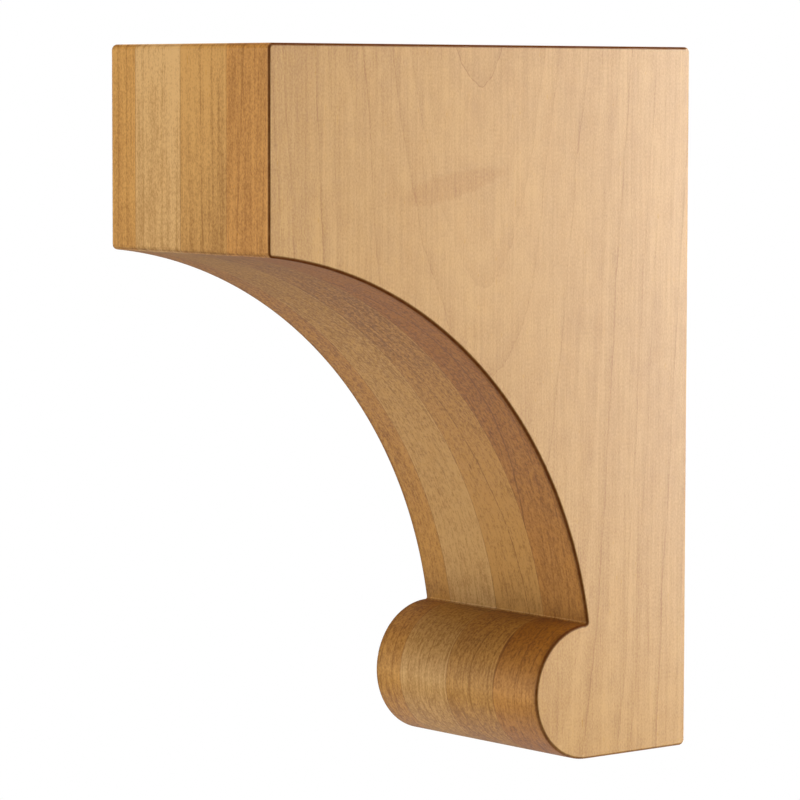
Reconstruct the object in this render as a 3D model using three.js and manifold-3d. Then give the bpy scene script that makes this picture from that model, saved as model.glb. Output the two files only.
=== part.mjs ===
// A wooden corbel bracket: four upright maple boards glued side by side into a block, and the
// block then sawn to one side profile, with a flat front, a deep cove and a half-round roll at
// the foot. Its edges are sanded round. Sizes are in millimetres.
//
// The origin is the centre of the back, which goes flat against a wall. +Z is up, -Y points out
// of the wall to the front, and +X is to the right for a person who looks at the front.

import * as THREE from 'three';
import { mergeVertices, toCreasedNormals } from 'three/addons/utils/BufferGeometryUtils.js';
import Module from 'manifold-3d';

const WIDTH = 90;             // across the four boards

// Side profile
const HEIGHT = 254;           // from the foot to the top
const DEPTH = 191;            // from the wall to the front face
const FRONT_HEIGHT = 71;      // flat front face, from the top down to the lip of the cove
const COVE_HOLLOW = 33.5;     // deepest point of the cove above a straight edge from lip to roll
const ROLL_RADIUS = 24.3;     // half-round nose of the foot
const ROLL_REACH = 48;        // from the wall to the centre of the roll

// Thickness of the boards, from left to right. The right outer one is trimmed to the width.
const LEFT_OUTER_BOARD = 14.5;
const LEFT_INNER_BOARD = 26;
const RIGHT_INNER_BOARD = 26;
const RIGHT_OUTER_BOARD = WIDTH - LEFT_OUTER_BOARD - LEFT_INNER_BOARD - RIGHT_INNER_BOARD;
const GLUE_LINE = 0.3;        // space between two boards

// Sanded edges
const SIDE_ROUND = 0.9;       // radius along both side faces
const EXTRA_CORNER_ROUND = 1; // how much larger the radius of the edges across the width is
const NOTCH_ROUND = 1.3;      // inside corner where the cove meets the roll

// Facets
const CHORD_ERROR = 0.03;     // how far the middle of a facet lies from its true arc
const FEWEST_FACETS = 4;      // in any arc
const SIDE_ROUND_FACETS = 3;
const SMOOTH_UP_TO = 35;      // degrees between facets that are shaded as one curved surface

// Maple under a clear finish: one board's colour is not quite the next one's
const FINISH_ROUGHNESS = 0.5;
const boards = [
  { name: 'left_outer_board', thickness: LEFT_OUTER_BOARD, colour: 0xb98a52 },
  { name: 'left_inner_board', thickness: LEFT_INNER_BOARD, colour: 0xd0a871 },
  { name: 'right_inner_board', thickness: RIGHT_INNER_BOARD, colour: 0xc4955d },
  { name: 'right_outer_board', thickness: RIGHT_OUTER_BOARD, colour: 0xd6ac7d },
];

// Points of the profile are (y, z) pairs, y along the depth and z up.
const TOP = HEIGHT / 2;
const FOOT = -HEIGHT / 2;
const FRONT = -DEPTH;
const CORNER_ROUND = SIDE_ROUND + EXTRA_CORNER_ROUND;
const FULL_TURN = 2 * Math.PI;
const QUARTER_TURN = FULL_TURN / 4;

const lip = new THREE.Vector2(FRONT, TOP - FRONT_HEIGHT);
const roll = new THREE.Vector2(-ROLL_REACH, FOOT + ROLL_RADIUS);
const rollTop = new THREE.Vector2(roll.x, roll.y + ROLL_RADIUS);

const directionFrom = (start, end) => Math.atan2(end.y - start.y, end.x - start.x);

// Centre and radius of the circle through the lip and the top of the roll that bulges up and
// back by COVE_HOLLOW from the straight line between them.
function coveCircle() {
  const chord = lip.distanceTo(rollTop);
  const radius = (chord * chord / 4 + COVE_HOLLOW * COVE_HOLLOW) / (2 * COVE_HOLLOW);
  const along = rollTop.clone().sub(lip).normalize();
  const intoWood = new THREE.Vector2(-along.y, along.x);
  const centre = lip.clone().add(rollTop).multiplyScalar(0.5)
    .addScaledVector(intoWood, COVE_HOLLOW - radius);
  return { centre, radius };
}

// Where two circles cross, on the left of the line from the first centre to the second.
function crossing(centreA, radiusA, centreB, radiusB) {
  const distance = centreA.distanceTo(centreB);
  const along = (radiusA * radiusA - radiusB * radiusB + distance * distance) / (2 * distance);
  const aside = Math.sqrt(radiusA * radiusA - along * along);
  const unit = centreB.clone().sub(centreA).normalize();
  return centreA.clone().addScaledVector(unit, along)
    .addScaledVector(new THREE.Vector2(-unit.y, unit.x), aside);
}

// An arc as points, with facets short enough for CHORD_ERROR.
function arc(centre, radius, start, end, clockwise = false) {
  const facetAngle = 2 * Math.acos(1 - CHORD_ERROR / radius);
  const sweep = THREE.MathUtils.euclideanModulo(clockwise ? start - end : end - start, FULL_TURN);
  const facets = Math.max(FEWEST_FACETS, Math.ceil(sweep / facetAngle));
  return new THREE.EllipseCurve(centre.x, centre.y, radius, radius, start, end, clockwise)
    .getPoints(facets);
}

// The outline goes from the underside to the back, up it, along the top, down the front face
// and back under the cove to the roll.
function profile() {
  const cove = coveCircle();
  const footCorner = new THREE.Vector2(-CORNER_ROUND, FOOT + CORNER_ROUND);
  const backCorner = new THREE.Vector2(-CORNER_ROUND, TOP - CORNER_ROUND);
  const frontCorner = new THREE.Vector2(FRONT + CORNER_ROUND, TOP - CORNER_ROUND);
  const lipRise = Math.sqrt(
    (cove.radius + CORNER_ROUND) ** 2 - (FRONT + CORNER_ROUND - cove.centre.x) ** 2);
  const lipCorner = new THREE.Vector2(FRONT + CORNER_ROUND, cove.centre.y + lipRise);
  const notch = crossing(
    cove.centre, cove.radius - NOTCH_ROUND, roll, ROLL_RADIUS + NOTCH_ROUND);
  const notchOnCove = directionFrom(cove.centre, notch);
  return new THREE.Shape([
    ...arc(footCorner, CORNER_ROUND, -QUARTER_TURN, 0),
    ...arc(backCorner, CORNER_ROUND, 0, QUARTER_TURN),
    ...arc(frontCorner, CORNER_ROUND, QUARTER_TURN, Math.PI),
    ...arc(lipCorner, CORNER_ROUND, Math.PI, directionFrom(lipCorner, cove.centre)),
    ...arc(cove.centre, cove.radius, directionFrom(cove.centre, lipCorner), notchOnCove, true),
    ...arc(notch, NOTCH_ROUND, notchOnCove, directionFrom(notch, roll), true),
    ...arc(roll, ROLL_RADIUS, directionFrom(roll, notch), -QUARTER_TURN),
  ]);
}

// The whole block, its width along X. Both side faces end in a quarter-round edge.
function sawnBlock() {
  const block = new THREE.ExtrudeGeometry(profile(), {
    depth: WIDTH - 2 * SIDE_ROUND,
    bevelThickness: SIDE_ROUND,
    bevelSize: SIDE_ROUND,
    bevelOffset: -SIDE_ROUND,
    bevelSegments: SIDE_ROUND_FACETS,
  });
  block.translate(0, 0, SIDE_ROUND - WIDTH / 2);
  return block.applyMatrix4(new THREE.Matrix4().makeBasis(
    new THREE.Vector3(0, 1, 0), new THREE.Vector3(0, 0, 1), new THREE.Vector3(1, 0, 0)));
}

const wasm = await Module();
wasm.setup();

function toSolid(geometry) {
  const bare = geometry.clone();
  bare.deleteAttribute('normal');
  bare.deleteAttribute('uv');
  const merged = mergeVertices(bare);
  return new wasm.Manifold(new wasm.Mesh({
    numProp: 3,
    vertProperties: new Float32Array(merged.attributes.position.array),
    triVerts: new Uint32Array(merged.index.array),
  }));
}

function toGeometry(solid) {
  const mesh = solid.getMesh();
  const geometry = new THREE.BufferGeometry();
  geometry.setAttribute('position', new THREE.BufferAttribute(mesh.vertProperties, mesh.numProp));
  geometry.setIndex(new THREE.BufferAttribute(mesh.triVerts, 1));
  return toCreasedNormals(geometry, THREE.MathUtils.degToRad(SMOOTH_UP_TO));
}

// The board that lies between two cuts across the block, placed by its middle. The slab that
// keeps it reaches past the block all round.
function boardMesh(block, board, leftCut, rightCut, middle) {
  const reach = 2 * (DEPTH + HEIGHT);
  const slab = new THREE.BoxGeometry(rightCut - leftCut, reach, reach);
  slab.translate((leftCut + rightCut) / 2, 0, 0);
  const geometry = toGeometry(block.intersect(toSolid(slab)));
  geometry.translate(-middle, 0, 0);
  const mesh = new THREE.Mesh(
    geometry,
    new THREE.MeshStandardMaterial({
      color: board.colour, roughness: FINISH_ROUGHNESS, metalness: 0,
    }),
  );
  mesh.name = board.name;
  mesh.position.x = middle;
  return mesh;
}

const bracket = new THREE.Group();
bracket.name = 'corbel_bracket';
const block = toSolid(sawnBlock());
let left = -WIDTH / 2;
for (const board of boards) {
  const right = left + board.thickness;
  const leftCut = board === boards[0] ? -WIDTH : left + GLUE_LINE / 2;
  const rightCut = board === boards.at(-1) ? WIDTH : right - GLUE_LINE / 2;
  bracket.add(boardMesh(block, board, leftCut, rightCut, (left + right) / 2));
  left = right;
}

export default bracket;
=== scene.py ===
"""A wooden corbel bracket: four upright maple boards glued side by side and sawn to one profile.

Everything is in metres, with the origin at the centre of the back, which goes against a wall.
+Z is up, -Y points out to the front and +X to the right of a person who looks at the front.
"""

from math import atan2, cos, pi, radians, sin, sqrt

import bpy
from mathutils import Euler, Matrix, Vector


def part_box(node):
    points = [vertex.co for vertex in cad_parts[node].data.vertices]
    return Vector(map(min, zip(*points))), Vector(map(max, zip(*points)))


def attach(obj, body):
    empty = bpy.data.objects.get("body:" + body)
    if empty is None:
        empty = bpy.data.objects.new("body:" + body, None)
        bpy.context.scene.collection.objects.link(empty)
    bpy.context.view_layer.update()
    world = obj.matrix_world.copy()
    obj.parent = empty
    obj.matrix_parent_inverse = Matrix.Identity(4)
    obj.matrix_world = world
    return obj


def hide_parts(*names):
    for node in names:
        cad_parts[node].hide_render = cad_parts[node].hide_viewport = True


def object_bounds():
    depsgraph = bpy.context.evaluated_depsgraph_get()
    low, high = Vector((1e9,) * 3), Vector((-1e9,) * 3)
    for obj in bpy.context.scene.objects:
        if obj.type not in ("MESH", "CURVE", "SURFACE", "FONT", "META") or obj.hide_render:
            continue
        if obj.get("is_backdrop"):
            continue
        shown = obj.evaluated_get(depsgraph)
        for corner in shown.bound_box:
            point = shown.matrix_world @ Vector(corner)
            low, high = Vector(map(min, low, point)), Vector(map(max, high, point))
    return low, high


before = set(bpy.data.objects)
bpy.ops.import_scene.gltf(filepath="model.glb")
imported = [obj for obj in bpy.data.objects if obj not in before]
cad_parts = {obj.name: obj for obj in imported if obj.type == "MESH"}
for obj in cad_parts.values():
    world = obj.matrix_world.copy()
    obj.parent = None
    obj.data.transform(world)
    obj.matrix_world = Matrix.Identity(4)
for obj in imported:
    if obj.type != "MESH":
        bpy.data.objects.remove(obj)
lowest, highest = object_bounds()

# The block. Four planed maple boards, grain upright, are glued face to face, and the block is
# bandsawn to a flat front, a deep cove and a half-round roll at the foot. The saw marks are
# sanded off and every edge is eased round before the clear finish goes on.

MM = 0.001
TOP, FOOT, FRONT = highest.z, lowest.z, lowest.y
LEFT, RIGHT = lowest.x, highest.x

FRONT_HEIGHT = 71 * MM     # flat front face, from the top down to the lip of the cove
COVE_HOLLOW = 33.5 * MM    # deepest point of the cove above a straight edge from lip to roll
ROLL_RADIUS = 24.3 * MM    # half-round nose of the foot
ROLL_REACH = 48 * MM       # from the wall to the centre of the roll
CORNER_ROUND = 1.9 * MM    # eased edges across the width
NOTCH_ROUND = 0.7 * MM     # inside corner where the cove meets the roll

# Radius of the eased side edges, and how dark they are: little at the back, most in the cove
EASE_FOOT, EASE_BACK, EASE_TOP = 0.9 * MM, 0.4 * MM, 1.1 * MM
EASE_FRONT, EASE_COVE = 0.85 * MM, 1.15 * MM
EDGE_DARK_FOOT, EDGE_DARK_BACK, EDGE_DARK_TOP, EDGE_DARK_FRONT = 0.3, 0.15, 1.0, 1.0
EDGE_DARK_SPREAD = 0.7         # below 1, the darkening reaches nearer to both sides of an edge
HIGHLIGHT_WIDTH = 0.9 * MM       # a pale line, a painted highlight, lies beside the eased edges of the front
DARK_BAND_WIDTH = 2.2 * MM       # and a soft dark band lies beside those of the cove and the roll

CORNER_STEPS = 12
COVE_STEPS = 96
NOTCH_STEPS = 10
ROLL_STEPS = 72
SIDE_ROUND_STEPS = 8

roll = Vector((-ROLL_REACH, FOOT + ROLL_RADIUS))
lip = Vector((FRONT, TOP - FRONT_HEIGHT))
chord = Vector((roll.x, roll.y + ROLL_RADIUS)) - lip
cove_radius = (chord.length_squared / 4 + COVE_HOLLOW ** 2) / (2 * COVE_HOLLOW)
into_wood = Vector((-chord.y, chord.x)).normalized()
cove = lip + chord / 2 + into_wood * (COVE_HOLLOW - cove_radius)

lip_corner_y = FRONT + CORNER_ROUND
lip_corner = Vector((
    lip_corner_y,
    cove.y + sqrt((cove_radius + CORNER_ROUND) ** 2 - (lip_corner_y - cove.x) ** 2)))


def crossing(centre_a, radius_a, centre_b, radius_b):
    """Where two circles cross, on the left of the way from the first centre to the second."""
    way = centre_b - centre_a
    along = (radius_a ** 2 - radius_b ** 2 + way.length_squared) / (2 * way.length)
    aside = sqrt(radius_a ** 2 - along ** 2)
    way.normalize()
    return centre_a + way * along + Vector((-way.y, way.x)) * aside


notch = crossing(cove, cove_radius - NOTCH_ROUND, roll, ROLL_RADIUS + NOTCH_ROUND)


def bearing(start, end):
    return atan2(end.y - start.y, end.x - start.x)


def sawn_arc(centre, radius, start, end, steps, ease, edge_darkness, hollow=False, corner=False):
    """Points of the profile, each with its outward normal and three numbers. The first tells how
    far round a corner of the profile it is: 1 in the middle, 0 at the ends and off it. The others
    are the radius of the eased side edge and how dark that edge is, which go over from the first
    to the second of a pair mostly near the arc's end."""
    if hollow:
        start += 2 * pi * (start < end)
    else:
        end += 2 * pi * (end < start)
    arc = []
    for step in range(steps + 1):
        share = step / steps
        angle = start + (end - start) * share
        out = Vector((cos(angle), sin(angle)))
        late = share ** 3
        arc.append((
            centre + out * radius, -out if hollow else out, corner * sin(pi * share),
            ease[0] + (ease[1] - ease[0]) * late, edge_darkness[0] + (edge_darkness[1] - edge_darkness[0]) * late))
    return arc


lip_end = bearing(lip_corner, cove)
notch_start = bearing(cove, notch)
notch_end = bearing(notch, roll)
full = (EDGE_DARK_FRONT, EDGE_DARK_FRONT)
profile = [
    *sawn_arc(Vector((-CORNER_ROUND, FOOT + CORNER_ROUND)), CORNER_ROUND, -pi / 2, 0,
              CORNER_STEPS, (EASE_FOOT, EASE_BACK), (EDGE_DARK_FOOT, EDGE_DARK_BACK), corner=True),
    *sawn_arc(Vector((-CORNER_ROUND, TOP - CORNER_ROUND)), CORNER_ROUND, 0, pi / 2,
              CORNER_STEPS, (EASE_BACK, EASE_TOP), (EDGE_DARK_BACK, EDGE_DARK_TOP), corner=True),
    *sawn_arc(Vector((FRONT + CORNER_ROUND, TOP - CORNER_ROUND)), CORNER_ROUND, pi / 2, pi,
              CORNER_STEPS, (EASE_TOP, EASE_FRONT), (EDGE_DARK_TOP, EDGE_DARK_FRONT), corner=True),
    *sawn_arc(lip_corner, CORNER_ROUND, pi, lip_end,
              CORNER_STEPS, (EASE_FRONT, EASE_COVE), full, corner=True),
    *sawn_arc(cove, cove_radius, bearing(cove, lip_corner), notch_start,
              COVE_STEPS, (EASE_COVE, EASE_COVE), full, hollow=True),
    # The notch counts as a corner, so the edges' darkening also lies in it: painted shade in the
    # crease
    *sawn_arc(notch, NOTCH_ROUND, notch_start, notch_end,
              NOTCH_STEPS, (EASE_COVE, EASE_COVE), full, hollow=True, corner=True),
    *sawn_arc(roll, ROLL_RADIUS, bearing(roll, notch), -pi / 2,
              ROLL_STEPS, (EASE_COVE, EASE_FOOT), (EDGE_DARK_FRONT, EDGE_DARK_FOOT)),
]


def board(name, left, right):
    """One board as a mesh, closed at both ends. An end on a side face of the block is eased."""
    stations = []
    for x, side in ((left, -1), (right, 1)):
        end = [(x, 0, None)]
        if not LEFT < x < RIGHT:
            end += [(x, side, pi / 2 * step / SIDE_ROUND_STEPS)
                    for step in range(SIDE_ROUND_STEPS + 1)]
        stations += end if side > 0 else end[::-1]

    points, normals, side_edge, cross_edge, painted_highlight, dark_band = [], [], [], [], [], []
    for x, side, turn in stations:
        for point, out, bend, ease, edge_darkness in profile:
            lean = 0 if turn is None else side * sin(turn)
            inset = 0 if turn is None else ease * (1 - cos(turn))
            front = out.x == -1
            if turn is None:
                # Flat stations sit in by the width of the front's painted highlight, elsewhere of
                # the dark band
                inward = ease + (HIGHLIGHT_WIDTH if front else DARK_BAND_WIDTH) if x in (LEFT, RIGHT) else 0
            else:
                inward = ease * (1 - sin(turn))
            spot = point - out * inset
            points.append((x - inward * (1 if x == RIGHT else -1), spot.x, spot.y))
            upright = sqrt(1 - lean ** 2)
            normals.append((lean, out.x * upright, out.y * upright))
            side_edge.append(
                0 if turn is None else max(0, sin(2 * turn)) ** EDGE_DARK_SPREAD * edge_darkness)
            cross_edge.append(bend * (1 - abs(lean)))
            # Painted highlight: a pale line on the front face beside its eased side edges
            painted_highlight.append(1 if turn == 0 and front else 0)
            dark_band.append(0 if turn is None or front or out.x >= 0 else edge_darkness * (1 - abs(lean)))

    count = len(profile)
    faces, face_normals = [], []
    for row in range(len(stations) - 1):
        for column in range(count):
            after = (column + 1) % count
            face = [row * count + column, row * count + after,
                    (row + 1) * count + after, (row + 1) * count + column]
            faces.append(face)
            face_normals += [normals[index] for index in face]
    last = (len(stations) - 1) * count
    faces.append(list(range(count))[::-1])
    face_normals += [(-1, 0, 0)] * count
    faces.append(list(range(last, last + count)))
    face_normals += [(1, 0, 0)] * count

    mesh = bpy.data.meshes.new(name)
    mesh.from_pydata(points, [], faces)
    mesh.shade_smooth()
    mesh.normals_split_custom_set(face_normals)
    for attribute, values in (
            ("side_edge", side_edge), ("cross_edge", cross_edge), ("painted_highlight", painted_highlight), ("dark_band", dark_band)):
        mesh.attributes.new(attribute, "FLOAT", "POINT").data.foreach_set("value", values)
    piece = bpy.data.objects.new(name, mesh)
    bpy.context.collection.objects.link(piece)
    return piece


# The boards. Each is from another plank of hard maple, so its colour and the way its rings run
# differ from the next one. Seams lie in the middle of the thin space that the solids leave for
# the glue, and one clear finish lies over all of them.


class Tone:
    """A socket of a material that takes part in sums as a number does."""

    def __init__(self, tree, socket=None):
        self.tree = tree
        self.socket = socket

    def node(self, kind, sockets=None, output=0, **settings):
        """Adds a node: its settings first, then a number or a link for each socket."""
        made = self.tree.nodes.new(kind)
        for name, value in settings.items():
            setattr(made, name, value)
        for key, value in (sockets or {}).items():
            if isinstance(value, Tone):
                self.tree.links.new(value.socket, made.inputs[key])
            else:
                made.inputs[key].default_value = value
        return Tone(self.tree, made.outputs[output] if made.outputs else None)

    def other(self, output):
        """Another output of the same node."""
        return Tone(self.tree, self.socket.node.outputs[output])

    def math(self, operation, first, second=0.0):
        return self.node("ShaderNodeMath", {0: first, 1: second}, operation=operation)

    def __add__(self, value):
        return self.math("ADD", self, value)

    __radd__ = __add__

    def __sub__(self, value):
        return self.math("SUBTRACT", self, value)

    def __rsub__(self, value):
        return self.math("SUBTRACT", value, self)

    def __mul__(self, value):
        return self.math("MULTIPLY", self, value)

    __rmul__ = __mul__

    def __truediv__(self, value):
        return self.math("DIVIDE", self, value)

    def __rtruediv__(self, value):
        return self.math("DIVIDE", value, self)

    def __pow__(self, value):
        return self.math("POWER", self, value)

    def __rpow__(self, value):
        return self.math("POWER", value, self)

    def floor(self):
        return self.math("FLOOR", self)

    def size(self):
        return self.math("ABSOLUTE", self)

    def between(self, low, high):
        """0 below low, 1 above high and a smooth rise from one to the other."""
        return self.node(
            "ShaderNodeMapRange", {"Value": self, "From Min": low, "From Max": high},
            interpolation_type="SMOOTHSTEP")

    def noise(self, x, y, z, detail=1.0):
        """Cloudy noise about 0, from about -0.5 to 0.5."""
        spot = self.node("ShaderNodeCombineXYZ", {"X": x, "Y": y, "Z": z})
        cloud = self.node(
            "ShaderNodeTexNoise", {"Vector": spot, "Scale": 1.0, "Detail": detail})
        return cloud - 0.5

    def mark(self, name):
        """A number that the mesh carries at each of its points."""
        return self.node("ShaderNodeAttribute", output="Fac", attribute_name=name)

    def blend(self, share, other, base=None, blend_type="MIX"):
        """The base colour, or else this one, turned into the other by a share from 0 to 1."""
        base = self if base is None else base
        return self.node(
            "ShaderNodeMix", {0: share, 6: base, 7: other}, output=2,
            data_type="RGBA", blend_type=blend_type)


def paint(red, green, blue):
    """A colour as it looks on a screen, 0 to 255, turned into amounts of light."""
    return tuple(
        part / 255 / 12.92 if part < 10.3 else ((part / 255 + 0.055) / 1.055) ** 2.4
        for part in (red, green, blue))


# Colours that the boards share. Those of the right side are duller than it looks in the photo,
# because the shine of the back soft box lightens it. The back has had less finish.
SIDE_PALE, SIDE_DARK = paint(169, 131, 77), paint(131, 90, 38)
RAW_BACK, RAW_SHARE = paint(126, 101, 70), 0.8
EDGE_BROWN = paint(72, 31, 0)
END_GRAIN = (0.49, 0.345, 0.0)   # what is left of each colour where the ends of fibres drink
BLUSH = (0.98, 0.94, 0.87)       # and in the pinkish clouds

# The finish, on the wood and on the darkened edges
ROUGHNESS, ROUGHER_ACROSS, INDEX = 0.31, 0.22, 1.48
DARK_EDGE_ROUGHNESS, DARK_EDGE_SHINE = 0.8, 0.03
FIBRE_RELIEF, RELIEF_STRENGTH = 0.1 * MM, 0.15
# How strong the painted highlight beside the front's eased edges is
HIGHLIGHT_SHARE = 0.4

# How squarely a face has to look to one side to count as that side, from not at all to fully
SIDE_ON, BACK_ON = (0.6, 0.95), (0.5, 0.9)

# Growth rings, in millimetres
RING_WIDTH = 3.4
RING_CHANGE, RING_CHANGE_REACH = 5, 9   # rings grow thicker and thinner by so much over so far
LATE_WOOD = 0.9            # width of the dark line that ends each ring
RING_BEAT = 2.4            # rings take turns to be dark in steps of this angle
FLAT_CUT = 0.004           # keeps a line thin where the cut runs along the ring
FIGURE_REACH = 35.0        # to each side of the pith, where the rings dip most
COMMON_DEPTH = 0.33        # of plain wood, from 0 at its pale colour to 1 at its dark one
SWELL_MIDDLE = -40.0       # height of the palest part of a board
SWELL_REACH = 29.0         # height over which its colour swells and fades

# How far the rings wander: width, height and amount of each bend
WANDERS = ((45, 150, 6, 2), (14, 22, 0.9, 2), (3, 5, 0.35, 1))

# Width and height of the marks in the wood, in millimetres, with their octaves
TINT, MOTTLE, PINK = (35, 80, 2), (5, 8, 2), (9, 20, 2)
BREAK, UNEVEN, SPECK = (3, 30, 2), (3, 3, 2), (1.3, 4, 1)
STREAK, FIBRE, FLECK = (1.1, 45, 2), (0.8, 3.5, 2), (0.6, 0.9, 1)
BAND_WIDTH, BAND_HEIGHT = 2.2, 160
RIPPLE_WIDTH, RIPPLE_LENGTH = 0.9, 6

# A patch of curl, in millimetres from its middle
CURL_SLOPE = 0.2           # its rise along its length
CURL_HALF_LENGTH = 25
CURL_HALF_HEIGHT = 5
CURL_TAPER = 0.07          # it is thinner towards the back
CURL_FRAY = 3              # how far the mottle moves its outline

# Lines beside a seam: where each starts and is full, in millimetres, and how strong it is
GLUE_LINE, GLUE_SHARE = (0.1, 0.35), 0.28
PALE_LINE, PALE_LINE_END, PALE_SHARE = (0.1, 0.4), (0.5, 1.0), 0.12
PALER = 1.25


def maple(name, seams, pale, dark, pith, taper, dip, first_ring, darkest_ring, rings, thirst,
          swell, curl):
    """Clear-finished hard maple. The rings of the board lie round its pith, an upright line at
    (x, y) that is outside the board. Its broad faces are calmer than its edges. Each seam is a
    place along x and the side, -1 or 1, on which the paler board lies."""
    material = bpy.data.materials.new(name)
    material.use_nodes = True
    tree = material.node_tree
    tree.nodes.clear()
    start = Tone(tree)
    place = start.node("ShaderNodeTexCoord", output="Object")
    spot = start.node("ShaderNodeSeparateXYZ", {"Vector": place})
    x, y, z = spot / MM, spot.other("Y") / MM, spot.other("Z") / MM
    facing = start.node(
        "ShaderNodeSeparateXYZ", {"Vector": start.node("ShaderNodeNewGeometry", output="Normal")})
    broad_face = facing.size().between(*SIDE_ON)
    right_side = facing.between(*SIDE_ON)
    back = facing.other("Y").between(*BACK_ON)
    across = facing.other("Z").size()

    def marks(width, height, detail):
        return start.noise(x / width, y / width, z / height, detail)

    # Rings wander a little, and some are dark and sharp while others hardly show. Where the
    # cut runs along a ring, the line stays as thin as elsewhere.
    from_pith = ((x - pith[0]) ** 2 + (y - pith[1]) ** 2) ** 0.5
    sag = start.math("EXPONENT", ((y - pith[1]) / FIGURE_REACH) ** 2 * -1)
    radius = from_pith - (sag * dip + taper) * z
    for width, height, amount, detail in WANDERS:
        radius = radius + marks(width, height, detail) * amount
    change = start.noise(radius / RING_CHANGE_REACH, 0.0, 0.0) * RING_CHANGE
    ring = (radius + change) / RING_WIDTH + first_ring
    which = ring.floor()
    share = ring - which
    strong = start.math("COSINE", (which - darkest_ring) * RING_BEAT) * 0.5 + 0.5
    broken = marks(*BREAK).between(-0.25, 0.15) * 0.85 + 0.15
    face_slope = (((y - pith[1]) / from_pith) ** 2 + FLAT_CUT) ** 0.5
    slope = face_slope * broad_face + (1 - broad_face)
    line = 1 - ((1 - share) * RING_WIDTH / slope).between(0, LATE_WOOD)
    darkest = start.math("COMPARE", which, darkest_ring)
    late_wood = line * (strong ** 2 * 0.7 + darkest * 1.3) * broken

    band = start.noise(radius / BAND_WIDTH, 0.0, z / BAND_HEIGHT, 2)
    ripple = start.noise(
        radius / RIPPLE_WIDTH, y / RIPPLE_LENGTH, z / RIPPLE_LENGTH, 2)
    mottle, streak, fibre, fleck = marks(*MOTTLE), marks(*STREAK), marks(*FIBRE), marks(*FLECK)
    speck = marks(*SPECK).between(0.24, 0.42)

    # How dark the wood is: 0 is its pale colour and 1 its dark one. Fine marks are weaker on
    # the broad faces, and all are stronger across the fibres, in the cove and on the roll.
    clouds = marks(*TINT) * 0.45 + band * (0.5 + across * 0.3) + mottle * 0.55
    growth = ((share ** 3 - 0.25) * strong * 0.3
              + late_wood * rings * (0.75 + across * 0.9 - broad_face * 0.05))
    fine_marks = (streak * (1.15 + across * 0.5) + fibre * (0.4 + across * 0.7)
                  + fleck * (1.55 - across * 0.35))
    calm = (1 - broad_face * 0.26) * (1 + across * 0.6)
    paler_part = start.math("COSINE", (z - SWELL_MIDDLE) / SWELL_REACH) * swell
    depth = (COMMON_DEPTH - paler_part + speck * (0.5 - across * 0.4) + clouds
             + ripple * across * 2.2 + growth + fine_marks * calm)
    pink = marks(*PINK).between(-0.1, 0.4) * 0.6

    # A patch of curl, where the fibres dive into the broad face
    if curl:
        along, up = y - curl[0], z - curl[1]
        off_middle = up - along * CURL_SLOPE + mottle * CURL_FRAY
        apart = (off_middle / (CURL_HALF_HEIGHT - along * CURL_TAPER)) ** 2
        patch = 1 - (apart + (along / CURL_HALF_LENGTH) ** 2).between(0.4, 1.1)
        pink = pink + patch
        depth = depth + patch * (0.17 + streak * 0.2)
    edge_wood = start.blend(depth, (*dark, 1), (*pale, 1))
    side_wood = start.blend(depth, (*SIDE_DARK, 1), (*SIDE_PALE, 1))
    wood = start.blend(right_side, side_wood, edge_wood)
    wood = start.blend(pink, (*BLUSH, 1), wood, "MULTIPLY")
    wood = wood.blend(back * RAW_SHARE, (*RAW_BACK, 1))

    # Cut across the fibres, the wood drinks more finish and turns browner
    cross_edge = start.mark("cross_edge")
    drunk = across ** 0.8 * (1 - cross_edge ** 0.5 * 0.9) * (thirst + streak * 0.5)
    wood = start.blend(drunk, (*END_GRAIN, 1), wood, "MULTIPLY")

    # A dark hairline of glue at the seams, with a pale one beside it on the paler board
    paler = (*(PALER * part for part in pale), 1)
    for seam, side in seams:
        beside = (x - seam / MM) * side
        pale_line = beside.between(*PALE_LINE) * (1 - beside.between(*PALE_LINE_END))
        glue = 1 - beside.size().between(*GLUE_LINE)
        wood = wood.blend(pale_line * PALE_SHARE, paler)
        wood = wood.blend(glue * GLUE_SHARE, (*EDGE_BROWN, 1))

    # Eased edges are coloured the darkest, with a softer dark band beside those of the cove and
    # the roll. Beside those of the front lies a pale line, a painted highlight.
    uneven = marks(*UNEVEN)
    # In the rounded inside corner where the cove meets the roll, this darkening is painted shade
    edge = start.math(
        "MAXIMUM", start.mark("side_edge") * (0.95 + uneven * 0.3),
        cross_edge ** 5 * (0.45 + uneven * 0.6))
    edge = start.math("MAXIMUM", edge, start.mark("dark_band") ** 2 * (0.35 + uneven * 0.3))
    edge = start.math("MINIMUM", edge, 1.0)
    # The painted highlight, a pale line beside the eased edges of the front
    wood = wood.blend(start.mark("painted_highlight") * HIGHLIGHT_SHARE * (1 - broad_face), paler)

    relief = fibre * 0.5 + streak * 0.5
    bump = start.node("ShaderNodeBump", {
        "Height": relief, "Strength": RELIEF_STRENGTH, "Distance": FIBRE_RELIEF})
    finished = start.node("ShaderNodeBsdfPrincipled", {
        "Base Color": wood,
        "Roughness": ROUGHNESS + across * ROUGHER_ACROSS + fibre * 0.12 + streak * 0.08,
        "IOR": INDEX,
        "Normal": bump,
    })
    dark_edge_surface = start.node("ShaderNodeBsdfPrincipled", {
        "Base Color": (*EDGE_BROWN, 1), "Roughness": DARK_EDGE_ROUGHNESS,
        "Specular IOR Level": DARK_EDGE_SHINE})
    surface = start.node("ShaderNodeMixShader", {0: edge, 1: finished, 2: dark_edge_surface})
    start.node("ShaderNodeOutputMaterial", {"Surface": surface})
    return material


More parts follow.
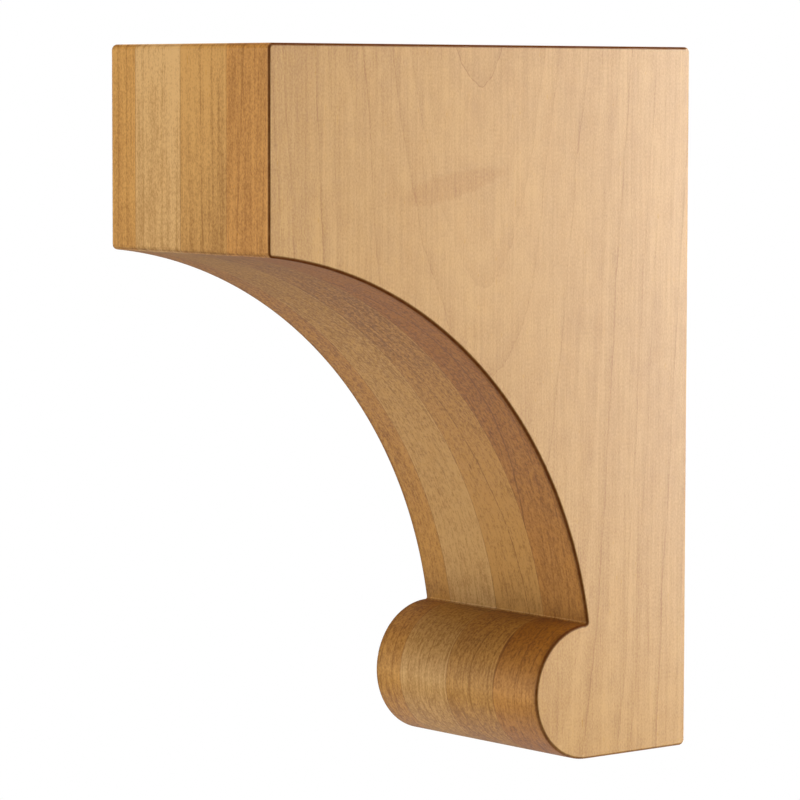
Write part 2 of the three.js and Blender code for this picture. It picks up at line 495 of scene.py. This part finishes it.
BOARDS = {
    "left_outer_board": ("left_outer_maple", "maple_orange", "orange maple", dict(
        pale=paint(203, 150, 77), dark=paint(154, 102, 37), pith=(190, -60),
        taper=0.01, dip=0.0, first_ring=0.2, darkest_ring=40, rings=0.4,
        thirst=0.91, swell=0.1, curl=None)),
    "left_inner_board": ("left_inner_maple", "maple_pale", "pale maple", dict(
        pale=paint(209, 165, 105), dark=paint(167, 122, 61), pith=(-290, -40),
        taper=0.01, dip=0.0, first_ring=0.7, darkest_ring=76, rings=0.6,
        thirst=0.91, swell=0.19, curl=None)),
    "right_inner_board": ("right_inner_maple", "maple_brown", "brown maple", dict(
        pale=paint(199, 149, 80), dark=paint(151, 103, 41), pith=(310, -130),
        taper=0.01, dip=0.0, first_ring=0.4, darkest_ring=90, rings=0.5,
        thirst=0.88, swell=0.25, curl=None)),
    "right_outer_board": ("right_outer_maple", "maple_pink", "pink maple", dict(
        pale=paint(197, 140, 68), dark=paint(148, 95, 32), pith=(-70, -100),
        taper=0.04, dip=0.065, first_ring=0.47, darkest_ring=30, rings=0.8,
        thirst=1.2, swell=-0.05, curl=(-110, 79))),
}
PALER_SIDES = (1, -1, -1)

spans = [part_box(node) for node in BOARDS]
seams = [(before[1].x + after[0].x) / 2 for before, after in zip(spans, spans[1:])]
cuts = [LEFT, *seams, RIGHT]

for (node, (name, slot, finish, look)), left, right in zip(BOARDS.items(), cuts, cuts[1:]):
    piece = board(name, left, right)
    piece.data.materials.append(maple(finish, list(zip(seams, PALER_SIDES)), **look))
    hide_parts(node)
    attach(piece, "root")

# The studio. The bracket hangs by its back, so the pale floor lies well below it. Floor and
# backdrop look evenly pale, and throw less light on the bracket than that, so that eight soft
# boxes shape it. The strongest stands behind the right side, and its shine lies on the side face.

FLOOR_DEPTH = 1.2
FLOOR_HALF = 3.5
FLOOR_PAINT = (0.72, 0.72, 0.71, 1)
FLOOR_SEEN = (0.84, 0.84, 0.83, 1)
WHITE = (1, 1, 1, 1)
AIR_LIGHT = 0.06

studio = bpy.data.worlds.new("white studio")
studio.use_nodes = True
air = Tone(studio.node_tree)
dim_air = air.node("ShaderNodeBackground", {"Color": WHITE, "Strength": AIR_LIGHT})
white_backdrop = air.node("ShaderNodeBackground", {"Color": WHITE, "Strength": 1.0})
seen = air.node("ShaderNodeLightPath", output="Is Camera Ray")
both = air.node("ShaderNodeMixShader", {0: seen, 1: dim_air, 2: white_backdrop})
air.tree.links.new(both.socket, studio.node_tree.nodes["World Output"].inputs["Surface"])
bpy.context.scene.world = studio

floor_mesh = bpy.data.meshes.new("floor")
floor_mesh.from_pydata(
    [(x * FLOOR_HALF, y * FLOOR_HALF, -FLOOR_DEPTH)
     for x, y in ((-1, -1), (1, -1), (1, 1), (-1, 1))], [], [(0, 1, 2, 3)])
floor = bpy.data.objects.new("floor", floor_mesh)
bpy.context.collection.objects.link(floor)
floor_paint = bpy.data.materials.new("pale floor paint")
floor_paint.use_nodes = True
floor_paint.node_tree.nodes.clear()
ground = Tone(floor_paint.node_tree)
matt = ground.node("ShaderNodeBsdfDiffuse", {"Color": FLOOR_PAINT})
lit_evenly = ground.node("ShaderNodeEmission", {"Color": FLOOR_SEEN, "Strength": 1.0})
seen = ground.node("ShaderNodeLightPath", output="Is Camera Ray")
pale_floor = ground.node("ShaderNodeMixShader", {0: seen, 1: matt, 2: lit_evenly})
ground.node("ShaderNodeOutputMaterial", {"Surface": pale_floor})
floor_mesh.materials.append(floor_paint)
floor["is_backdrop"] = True

# Place of the middle, width and height, and power in watts
SOFT_BOXES = {
    "back soft box": ((0.70, 1.25, 0.22), (0.8, 1.2), 52.0),
    "right soft box": ((1.5, 0.1, 0.5), (1.0, 1.2), 9.0),
    "top soft box": ((0.0, -0.4, 1.6), (1.5, 1.5), 32.0),
    "front soft box": ((0.2, -1.9, 0.1), (1.2, 1.0), 13.0),
    "left soft box": ((-0.95, -1.68, -0.1), (1.2, 1.2), 5.2),
    "far left soft box": ((-2.2, 0.1, 0.0), (0.8, 0.8), 17.0),
    "left rear soft box": ((-1.5, 1.1, -0.4), (1.2, 1.2), 0.4),
    "low soft box": ((0.2, -0.7, -1.15), (1.6, 1.6), 11.0),
}
MIDDLE_OF_BRACKET = Vector((0.0, -0.1, 0.0))

for name, (place, size, watts) in SOFT_BOXES.items():
    lamp = bpy.data.lights.new(name, "AREA")
    lamp.shape = "RECTANGLE"
    lamp.size, lamp.size_y = size
    lamp.energy = watts
    box = bpy.data.objects.new(name, lamp)
    box.location = place
    box.rotation_euler = (MIDDLE_OF_BRACKET - Vector(place)).to_track_quat("-Z", "Y").to_euler()
    box.visible_camera = False
    bpy.context.collection.objects.link(box)

# The camera. A long lens stands to the right of the front, a little below the top, so the top
# face is just out of view.

CAMERA_PLACE = (1.0625534, -0.9719546, 0.11236)
CAMERA_TURN = radians(50.5548)
CAMERA_RISE = radians(-4.6093)
CAMERA_ROLL = radians(0.1138)
FOCAL_LENGTH, SENSOR_WIDTH = 174.51, 36.0
FARTHEST_SEEN = 50.0

lens = bpy.data.cameras.new("camera")
lens.lens = FOCAL_LENGTH
lens.sensor_width = SENSOR_WIDTH
lens.clip_end = FARTHEST_SEEN
camera = bpy.data.objects.new("camera", lens)
turn = Euler((pi / 2 + CAMERA_RISE, 0, CAMERA_TURN)).to_matrix()
turn = turn @ Matrix.Rotation(CAMERA_ROLL, 3, "Z")
camera.matrix_world = Matrix.Translation(CAMERA_PLACE) @ turn.to_4x4()
bpy.context.collection.objects.link(camera)
bpy.context.scene.camera = camera
bpy.context.scene.view_settings.view_transform = "Standard"

lowest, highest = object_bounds()
